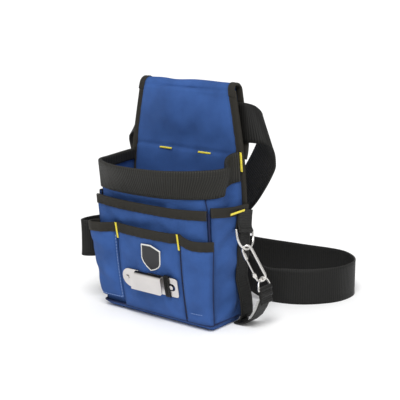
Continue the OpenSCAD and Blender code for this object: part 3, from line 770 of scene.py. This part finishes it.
def build_base():
    grid_x, grid_y = np.linspace(-87, 87, 60), np.linspace(-28, 27, 22)
    bottom = vec(grid_x[:, None], grid_y[None], 1.3)
    cloth("base_floor", wrinkled(bottom, 0.25, 30), 1.4, BLUE, nodes=["base_panel"], slot="blue_fabric")
    rows = []
    turn = [(-7, 1.35, 0), (-3, 1.05, 0), (-1.0, 1.1, 0), (-0.2, 2.0, 0.05), (0, 3.2, 0.3),
            (0, 5.2, 0.6), (0, 8.0, 1.0)]
    for inset, z, flare in turn:
        line = resample(base_line(flare), 1.0)
        line = line[np.linspace(0, len(line) - 1, 260).astype(int)]
        rows.append(vec(line[:, 0] * (1 + inset / 92), line[:, 1] * (1 + inset / 32), z))
    cloth("base_band", np.stack(rows, 1), 1.3, BLUE, slot="blue_fabric")
    line = base_line(1.0)
    line = line[line[:, 1] < 22]
    path = resample(vec(line[:, 0], line[:, 1], 8.8), 1.5)
    out = unit(path * [1, 1.6, 0])
    tube("base_piping_cord", path + out * 0.5, 1.25, nodes=["base_piping"])


# ---- back -----------------------------------------------------------------

ROLL_Y, ROLL_Z, ROLL_R = 35.0, 303.15, 8.4


def back_profile():
    """Side view of the fabric that runs up inside, over the top and down behind."""
    up = [(26.1, z) for z in np.linspace(4.3, 300, 100)]
    over = [(ROLL_Y - ROLL_R * math.cos(a), ROLL_Z + ROLL_R * math.sin(a))
            for a in np.radians(np.linspace(0, 180, 19))]
    flap = [(214, 33), (226, 38.5), (240, 42), (302, 43.3)]
    down = [(float(curve(z, flap)), z) for z in np.linspace(300, 216, 40)]
    return resample(np.array(up + over + down), 2.0)


def roll_half(z):
    """Half width of the roll and the flap."""
    return np.minimum(back_half(z), 79.5 + (312 - z) * 0.21)


def build_back():
    line = back_profile()
    tangent = unit(np.gradient(line, axis=0))
    y, z = line[:, 0], line[:, 1]
    v = np.linspace(-1, 1, 64)
    x = (roll_half(z) - 7.5)[:, None] * v[None]
    front = np.arange(len(line)) < np.argmax(z)
    puff = np.where(front & (z < 301), 1.0, 0.0)
    above = np.exp(-(((z - 272) / 40) ** 4)) * 8.0
    above = above * curve(z, [(221, 0), (250, 0.42), (284, 1), (300, 0.7)])
    below = np.exp(-(((z - 178) / 34) ** 4)) * 1.6
    crease = 1.1 * np.exp(-(((z - 221.5) / 3.2) ** 2))
    swell = (above + below)[:, None] * (1 - np.abs(v[None]) ** 3)
    lift = (swell - crease[:, None] * (1 - 0.4 * v[None] ** 2)) * puff[:, None]
    P = vec(x, y[:, None], z[:, None])
    out = vec(0 * x, -tangent[:, 1:], tangent[:, :1])
    P = wrinkled(P + out * lift[..., None], 0.7, 46, 12)
    cloth("back_fabric", P, 1.5, BLUE, nodes=["back_lining", "tunnel_fold", "tunnel_flap"],
          slot="blue_fabric")
    x = np.linspace(-1, 1, 56)
    z = np.linspace(4.3, 302, 130)
    P = vec(x[:, None] * (back_half(z) - 7.5)[None], 30.1, z[None])
    cloth("back_outer", wrinkled(P, 0.7, 60, 14), 1.5, BLUE, nodes=["back_panel"], slot="blue_fabric")
    for sign, word in ((-1, "left"), (1, "right")):
        back_tape(sign, word)
        roll_tape(sign, word, line, tangent)


def back_tape(sign, word):
    """Tape round the edge of the back, from the foot to the roll."""
    z = np.linspace(4.3, 303, 220)
    gap = 3.0
    inset, shift = folded(9, 9, gap, ROUND_BEND)
    wave = 0.25 * np.sin(z * 2 * math.pi / 13) + 0.2 * np.sin(z * 2 * math.pi / 31)
    edge = back_half(z)[:, None] - inset[None] - wave[:, None] * (inset[None] > 6)
    P = vec(sign * edge, 28.4 - shift[None], z[:, None])
    if sign > 0:
        P = P[:, ::-1]
    cloth(f"back_tape_{word}", P, 1.0, TAPE, nodes=[f"back_binding_{word}"], slot="binding_tape")
    for y, up in ((24.8, -1.0), (32.0, 1.0)):
        path = vec(sign * (back_half(z) - 7.2), y, z)
        dark.seam(path, np.tile([0.0, up, 0.0], (len(z), 1)))


def roll_tape(sign, word, line, tangent):
    """Tape over the end of the roll and down the edge of the flap."""
    keep = np.arange(len(line)) >= np.argmax(line[:, 1] > 296)
    y, z = line[keep, 0], line[keep, 1]
    t = tangent[keep]
    gap = 1.35
    inset, shift = folded(9, 8, gap, SHORT_BEND)
    half = roll_half(z)
    out = np.stack([-t[:, 1], t[:, 0]], 1)
    P = vec(sign * (half[:, None] - inset[None]), y[:, None] + out[:, :1] * shift[None],
            z[:, None] + out[:, 1:] * shift[None])
    if sign < 0:
        P = P[:, ::-1]
    nodes = ["tunnel_binding"] if sign < 0 else []
    cloth(f"roll_tape_{word}", P, 0.9, TAPE, nodes=nodes, slot="binding_tape")
    lift = gap + 0.55
    path = vec(sign * (half - 7.4), y + out[:, 0] * lift, z + out[:, 1] * lift)
    dark.seam(path, vec(0 * y, out[:, 0], out[:, 1]))


# ---- main body and mouth band ---------------------------------------------


def build_body():
    spans = [("body_front", 0.2535, 0.7465, "front_panel", 110),
             ("body_side_left", 0.001, 0.2465, "gusset_left", 44),
             ("body_side_right", 0.7535, 0.999, "gusset_right", 44)]
    grooves = [(0.2535, 0.004, 0.8), (0.7465, 0.004, 0.8)]
    for name, a, b, node, n in spans:
        panel(name, wall, np.linspace(a, b, n), level(5.0), lambda u: mouth_z(u) - 2.0, 90, 1.8,
              (1.0, 34), covered=BAND_OUT, grooves=grooves, nodes=[node])
    # Dark cords down the body's front corners: painted shadow along the seams between the front and the
    # sides.
    for u, word in ((0.25, "left"), (0.75, "right")):
        z = np.linspace(8, 186, 120)
        path = wall(np.full_like(z, u), z)
        tube(f"body_corner_seam_shadow_{word}", resample(path, 2.0), 0.7, sides=8)
    us = np.linspace(0.004, 0.996, 700)
    edge_tape("mouth_webbing", wall, us, mouth_z, BAND_OUT, BAND_IN, 1.9, 1.5, RIM, 0.004,
              ripple=0.15, rib=3.3, seams=(2.0, 30.5), nodes=["rim_webbing", "rim_lining_tape"],
              slot="black_webbing")


# ---- pockets --------------------------------------------------------------


def build_second_pocket():
    us = np.linspace(0.004, 0.996, 100)
    panel("second_pocket_cloth", second, us, level(6.0), lambda u: second_top(u) - 2, 80, 1.5,
          (1.2, 40), nodes=["second_pocket"])
    edge_tape("second_pocket_tape", second, np.linspace(0.002, 0.998, 220), second_top,
              BINDING_OUT, BINDING_IN, 1.4, 1.0, TAPE, 0.004, ripple=0.3,
              nodes=["second_pocket_binding"], slot="binding_tape")


def build_side_pockets():
    for sign, word in ((-1, "left"), (1, "right")):
        def S(u, z):
            return side(u, z, sign)
        us = np.linspace(0.012, 0.985, 50)
        panel(f"side_pocket_cloth_{word}", S, us, level(6.5), lambda u: side_top(u) - 2, 80, 1.5,
              (1.5, 36), nodes=[f"side_pocket_{word}"])
        edge_tape(f"side_pocket_tape_{word}", S, np.linspace(0.004, 0.99, 90), side_top,
                  BINDING_OUT, BINDING_IN, 1.4, 1.0, TAPE, 0.004, sign=sign, ripple=0.25,
                  nodes=[f"side_pocket_{word}_binding"], slot="binding_tape")
    # Dark cords down the front corners: painted shadow in the gap between the second pocket and the side
    # pockets.
    z = np.linspace(8, 157, 90)
    for u, sign, word in ((0.0, -1, "left"), (1.0, 1, "right")):
        middle = (second(np.full_like(z, u), z) + side(np.zeros_like(z), z, sign)) / 2
        path = resample(middle + np.array([0.5 * sign, -0.7, 0]), 2.0)
        tube(f"front_corner_seam_shadow_{word}", path, 1.25)


def build_front_pockets():
    def top(q):
        return pocket_edge(q) - 2.0

    spans = [("screwdriver_pocket_cloth", -108, LEFT_SEAM - 0.5, "screwdriver_pocket", 62, 19.0),
             ("middle_pocket_cloth", LEFT_SEAM + 0.5, RIGHT_SEAM - 0.5, "middle_pocket", 90, 9.6),
             ("right_pocket_cloth", RIGHT_SEAM + 0.5, 97, "right_pocket", 56, 9.6)]
    for name, a, b, node, n, low in spans:
        panel(name, pocket, np.linspace(a, b, n), level(low), top, 74, 1.4, (1.3, 34),
              grooves=[(LEFT_SEAM, 1.6, 0.9), (RIGHT_SEAM, 1.6, 1.2)], nodes=[node])
    edge_tape("front_pocket_tape", pocket, np.linspace(-108, 97, 270), pocket_edge, BINDING_OUT,
              BINDING_IN, 1.35, 1.0, TAPE, 0.5, ripple=0.3, nodes=["front_pocket_binding"],
              slot="binding_tape")
    for q, threads in ((LEFT_SEAM - 2.2, sky), (RIGHT_SEAM + 2.4, dark)):
        z = np.linspace(12 if q > 0 else 20, 112, 80)
        up = normal_at(pocket, np.full_like(z, q), z, 0.5)
        threads.seam(pocket(np.full_like(z, q), z) + up, up, pitch=4.4, length=2.8, radius=0.42)
    z = np.linspace(9, 114, 60)
    q = np.full_like(z, RIGHT_SEAM)
    path = resample(pocket(q, z) + normal_at(pocket, q, z, 0.5) * 0.25, 2.0)
    tube("right_pocket_seam", path, 0.75, sides=8)
    # Dark cord down the front pocket's right end: painted shadow where the pocket's edge meets the side
    # pocket.
    q = np.full_like(z, 97.2)
    path = resample(pocket(q, z) + np.array([0.2, 0.3, 0]), 2.0)
    tube("front_pocket_end_shadow", path, 0.95, sides=8)
    rows = [(np.linspace(-106, LEFT_SEAM - 2, 60), 21.6, dict(pitch=3.8, length=2.5, radius=0.38)),
            (np.linspace(RIGHT_SEAM + 9, 84, 30), 23.0, dict(pitch=3.6, length=2.4, radius=0.34))]
    for q, height, stitch in rows:
        z = np.full_like(q, height)
        up = normal_at(pocket, q, z, 0.5)
        sky.seam(pocket(q, z) + up * 0.95, up, **stitch)


# ---- trim -----------------------------------------------------------------


def build_bartacks():
    for x in (-33, 33):
        yellow.bartack((x, 24.9, 219), (1, 0, 0), (0, -1, 0), 20)
    yellow.bartack((93.2, 24.0, 213.5), (0.08, 0, -1), (0, -1, 0), 24, 3.4)
    for q in (-50.4, 54.0):
        q, z = np.array([q]), np.array([118])
        up = normal_at(pocket, q, z, 0.5)[0]
        at = pocket(q, z)[0] + up * 2.2
        down = unit(pocket(q, z - 5)[0] - pocket(q, z + 5)[0])
        yellow.bartack(at, down + np.array([0.12, 0, 0]), up, 20)
    yellow.bartack((106.4, -1.5, 154), (0, 1, 0.02), (1, 0, 0.05), 29)
    yellow.bartack((-104.7, 3, 153), (0, 1, 0.04), (-1, 0, 0.05), 26)


def shield(scale):
    """Outline of the badge, with a low peak at the top and a pointed foot."""
    w, h = 16.5, 19.5
    right = [(0, h), (w * 0.5, h - 1.6), (w, h - 3.4), (w, 5), (w, -3), (w * 0.95, -6.5),
             (w * 0.8, -10.5), (w * 0.45, -15.5), (0, -h)]
    left = [(-x, z) for x, z in right[-2:0:-1]]
    return resample(np.array(right + left + [right[0]], float), 0.9)[:-1] * scale


def build_badge():
    scales = [0.02, 0.4, 0.8, 0.9, 0.915, 0.94, 0.97, 0.99, 1.0]
    rise = [0.75, 0.75, 0.72, 0.7, 1.15, 1.3, 1.2, 0.85, 0.0]
    rings = []
    for k, r in zip(scales, rise):
        line = shield(k)
        rings.append(vec(line[:, 0], -r + 0 * line[:, 0], line[:, 1]))
    rings = np.stack(rings)
    n = rings.shape[1]
    verts = turned(rings.reshape(-1, 3), (10.5, -58.6, 90), (12, 9, 0))
    grid = np.arange(len(scales) * n).reshape(len(scales), n)
    turn = np.roll(grid, -1, axis=1)
    quads = np.stack([grid[:-1], turn[:-1], turn[1:], grid[1:]], -1).reshape(-1, 4)
    faces = [tuple(q) for q in quads] + [tuple(grid[0][::-1])] + [tuple(grid[-1])]
    obj = make("badge", verts, faces, [FIELD, BORDER], nodes=["badge_patch"], slot="badge_vinyl")
    ring = np.repeat(np.arange(len(scales) - 1), n)
    index = np.concatenate([(ring >= 3).astype(int), [0, 1]])
    obj.data.polygons.foreach_set("material_index", index)
    obj.data.update()


CLIP_AT, CLIP_TILT = (3.5, -52.2, 55.0), (11.3, 0, 0)


def build_clip():
    """Webbing keeper round the clip's plate, as two narrow bands."""
    for x, name in ((28.0, "clip_keeper_inner"), (32.2, "clip_keeper_outer")):
        a = np.radians(np.linspace(0, 360, 73))
        y = -0.75 + 2.0 * np.sign(np.cos(a)) * np.abs(np.cos(a)) ** 0.35
        z = 14.6 * np.sign(np.sin(a)) * np.abs(np.sin(a)) ** 0.35
        loop = turned(resample(vec(x, y, z), 0.65), CLIP_AT, CLIP_TILT)
        ribbon(name, framed(loop, [1.0, 0, 0]), 3.3, 0.9, pitch=1.5, across=5, relief=0.08,
               nodes=["tape_clip_keeper"] if x < 30 else [])


# ---- tool loop, key loop and tape strap -----------------------------------

TOOL_LOOP = [(-97.9, -26), (-106, -34), (-117, -44), (-126, -46), (-130, -36), (-128, -18),
             (-119, 0), (-109, 10), (-101.4, 14)]


def build_tool_loop():
    frames = [(x, y, 93, 0, 0, 1) for x, y in TOOL_LOOP]
    _, P = ribbon("tool_loop", frames, BELT_W, 2.0, bulge=0.6,
                  nodes=["tool_loop_front", "tool_loop_outer", "tool_loop_rear"])
    for column in (1, -2):
        row_seam(dark, P[:40], column, -1.3)


def build_key_loop():
    bar, tilt = (107, 13, 128), (-12, 0, 0)
    a = np.radians(np.linspace(180, 420, 25))
    inner = [(-2.9, z) for z in np.linspace(23, 3, 12)]
    bend = [(2.75 * math.cos(t), 2.75 * math.sin(t)) for t in a]
    outer = [(0.2, 4.4), (-0.8, 8), (-1.3, 13), (-1.9, 19), (-2.1, 26.5)]
    line = resample(np.array(inner + bend + outer), 0.8)
    flat = vec(line[:, 0], 0, line[:, 1])
    points = turned(flat, bar, tilt)
    across = turned(np.array([[0.0, 1, 0]]), (0, 0, 0), tilt)[0]
    ribbon("key_loop_webbing", framed(points, across), KEY_LOOP_W, 1.5, pitch=1.9,
           relief=0.1, nodes=["key_loop"])


TAPE_ROUTE = np.array([(95.5, 20, 2.4), (104, 20, 2.6), (114, 20, 5.5), (123.5, 20, 14.5),
                       (131, 20, 27), (136.8, 19.7, 42)], float)


def build_tape_strap():
    z = np.linspace(124, 7, 60)
    foot = curve(z, [(0, 29), (160, 41)])
    flat = side((20 + foot) / (26.7 + foot), z, 1)
    bow_out = curve(z, [(5, 8), (14, 12), (30, 10), (62, 0)])
    frames = framed(vec(flat[:, 0] + 1.9 + bow_out, 20, z), [0, 1.0, 0])
    _, P = ribbon("side_strap_webbing", frames, STRAP_W, 1.6, pitch=1.9, relief=0.1,
                  nodes=["side_strap"])
    for column in (1, -2):
        row_seam(dark, P, column, -1.1 if normals(P)[20, 4, 0] < 0 else 1.1)
    ring, tilt = (135.1, 19.5, 53.8), (0, -16, 4)
    a = np.radians(np.linspace(-75, 215, 25))
    bend = [(2.7 * math.cos(t), 2.7 * math.sin(t)) for t in a]
    local = np.array([(1.2, -9), (1.3, -5.5)] + bend + [(-0.9, -6), (-1.1, -11), (-1.3, -19)])
    loop = turned(vec(local[:, 0], 0, local[:, 1]), ring, tilt)
    line = resample(np.concatenate([TAPE_ROUTE, loop]), 1.0)
    strap, _ = ribbon("tape_strap_webbing", framed(line, [0.0, 1, 0]), STRAP_W, 1.6, pitch=1.9,
                      relief=0.1, body=None, nodes=["tape_strap", "strap_end_loop"])
    label_line = resample(TAPE_ROUTE[3:], 1.0)
    v = np.linspace(0, 1, 7)
    P = label_line[:, None] + np.array([0, -12.4, 0]) - np.array([0, 7.0, 0]) * v[None, :, None]
    label = cloth("strap_tab", P, 0.5, LABEL, body=None, nodes=["strap_label"], slot="white_label")
    for obj in (strap, label):
        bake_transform(obj)


# ---- belt -----------------------------------------------------------------

STAND = 25.3
# x, y, z and the direction across, from one half of the buckle round to the other
ROUTE = [
    (-181, 218.3, 30.3, 0, 0, 1), (-206, 212, 28, 0, 0, 1), (-228, 190, STAND, 0, 0, 1),
    (-226, 160, STAND, 0, 0, 1), (-200, 138, 27, -0.03, 0, 1), (-150, 121, 35, -0.18, 0, 0.98),
    (-85, 106, 58, -0.42, 0, 0.9), (-25, 92, 94, -0.62, 0, 0.78), (25, 78, 128, -0.72, 0.08, 0.69),
    (69, 63, 162, -0.76, 0.24, 0.6), (90, 59.5, 187, -0.79, 0.29, 0.53),
    (107, 58, 216, -0.75, 0.29, 0.6), (112, 57.5, 233, -0.6, 0.24, 0.77),
    (112.5, 54, 250, -0.48, 0.18, 0.86), (107.5, 46, 259.5, -0.4, 0.12, 0.9),
    (97, 39.5, 262, -0.2, 0.02, 0.98), (84, 37.2, 262.5, -0.03, 0, 1), (45, 37.2, 263, 0, 0, 1),
    (-45, 37.2, 263, 0, 0, 1), (-78, 37.2, 262.5, 0.08, 0, 1), (-90, 38.2, 261, 0.22, 0, 0.97),
    (-99, 44, 254, 0.4, 0, 0.92), (-104.5, 50, 243.5, 0.57, 0.12, 0.81), (-105, 55, 231, 0.7, 0.13, 0.7),
    (-100.5, 57.5, 215.5, 0.8, 0.12, 0.58), (-88, 58, 197, 0.8, 0.1, 0.59),
    (-62, 58.5, 165, 0.78, 0.06, 0.63),
    (-28, 61, 130, 0.72, 0.02, 0.69), (5, 70, 96, 0.65, 0, 0.76), (38, 88, 60, 0.48, -0.05, 0.87),
    (72, 108, 29, 0.15, -0.15, 0.97), (107, 122, STAND, 0.02, 0, 1), (136, 143, STAND, 0, 0, 1),
    (157, 178, STAND, 0, 0, 1), (154, 220, STAND, 0, 0, 1), (116, 250, STAND, 0, 0, 1),
    (47, 243.5, STAND, 0, 0, 1), (-20, 236, STAND, 0, 0, 1), (-80, 230, 27.5, 0, 0, 1),
    (-119, 225.5, 30.3, 0, 0, 1)]


def build_belt():
    others = ("belt_keeper", "belt_tail")
    nodes = [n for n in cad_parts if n.startswith("belt_") and n not in others]
    ribbon("belt_webbing", ROUTE, BELT_W, 2.0, across=11, body="belt", nodes=nodes)
    ribbon("belt_tail_webbing", ROUTE, BELT_W, 1.8, span=(37.6, 38.85), across=11, shift=2.25,
           body="belt", nodes=["belt_tail"])


# ---- carried-over hardware ------------------------------------------------


def finish_hardware():
    """Materials and softened edges for the CAD pieces that stay as they are."""
    looks = [(WIRE, ("d_ring", "hook_body", "hook_pin", "hook_gate", "strap_ring")),
             (PLATE, ("tape_clip_plate", "tape_clip_tongue", "tape_clip_rivets")),
             (PLASTIC, ("buckle_female", "buckle_male", "buckle_prong_lower",
                        "buckle_prong_upper", "belt_keeper")),
             (BOARD, ("base_board", "back_stiffener"))]
    bevels = {"tape_clip_plate": 0.25, "tape_clip_tongue": 0.3, "tape_clip_rivets": 0.3,
              "buckle_female": 0.8, "buckle_male": 0.7, "buckle_prong_lower": 0.6,
              "buckle_prong_upper": 0.6, "belt_keeper": 0.7}
    for name, mat in [(name, mat) for mat, names in looks for name in names]:
        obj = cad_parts[name]
        obj.data.materials.clear()
        obj.data.materials.append(mat)
        if name in bevels:
            bevel = obj.modifiers.new("soft_edges", "BEVEL")
            bevel.width = bevels[name] * MM
            bevel.segments = 2
            bevel.limit_method = "ANGLE"
            bevel.angle_limit = math.radians(40)


# ---- room -----------------------------------------------------------------


def lamp(name, at, size, power):
    data = bpy.data.lights.new(name, "AREA")
    data.shape = "DISK"
    data.size = size
    data.energy = power
    light = bpy.data.objects.new(name, data)
    light.location = at
    aim = Vector((0, 0, 0.14)) - light.location
    light.rotation_euler = aim.to_track_quat("-Z", "Y").to_euler()
    bpy.context.scene.collection.objects.link(light)


def build_room():
    s = Shader("floor", Roughness=0.9, Specular_IOR_Level=0.1)
    tone = s.calc("MULTIPLY_ADD", s.noise(3.0), 0.01, 0.965)
    s.put(s.bsdf.inputs["Base Color"], s.node("CombineColor", Red=tone, Green=tone, Blue=tone))
    mesh = bpy.data.meshes.new("floor")
    half = 30.0
    corners = [(-half, -half, 0), (half, -half, 0), (half, half, 0), (-half, half, 0)]
    mesh.from_pydata(corners, [], [(0, 1, 2, 3)])
    mesh.materials.append(s.mat)
    floor = bpy.data.objects.new("floor", mesh)
    bpy.context.scene.collection.objects.link(floor)
    world = bpy.data.worlds.new("room")
    world.use_nodes = True
    world.node_tree.nodes["Background"].inputs["Color"].default_value = (1, 1, 1, 1)
    world.node_tree.nodes["Background"].inputs["Strength"].default_value = 0.58
    bpy.context.scene.world = world
    data = bpy.data.lights.new("sun", "SUN")
    data.energy = 2.25
    data.angle = math.radians(28)
    sun = bpy.data.objects.new("sun", data)
    sun.rotation_euler = Vector((-0.30, 0.55, -0.92)).to_track_quat("-Z", "Y").to_euler()
    bpy.context.scene.collection.objects.link(sun)
    lamp("side", (2.2, -0.6, 1.3), 1.0, 4)
    bpy.context.scene.view_settings.view_transform = "Standard"


build_base()
build_back()
build_body()
build_second_pocket()
build_side_pockets()
build_front_pockets()
build_bartacks()
build_badge()
build_clip()
build_tool_loop()
build_key_loop()
build_tape_strap()
build_belt()
dark.build("dark_stitches", BLACK_THREAD, slot="binding_tape")
sky.build("blue_stitches", SKY, slot="blue_fabric")
yellow.build("yellow_bartacks", YELLOW, nodes=["bartacks"], slot="yellow_thread")
finish_hardware()
build_room()
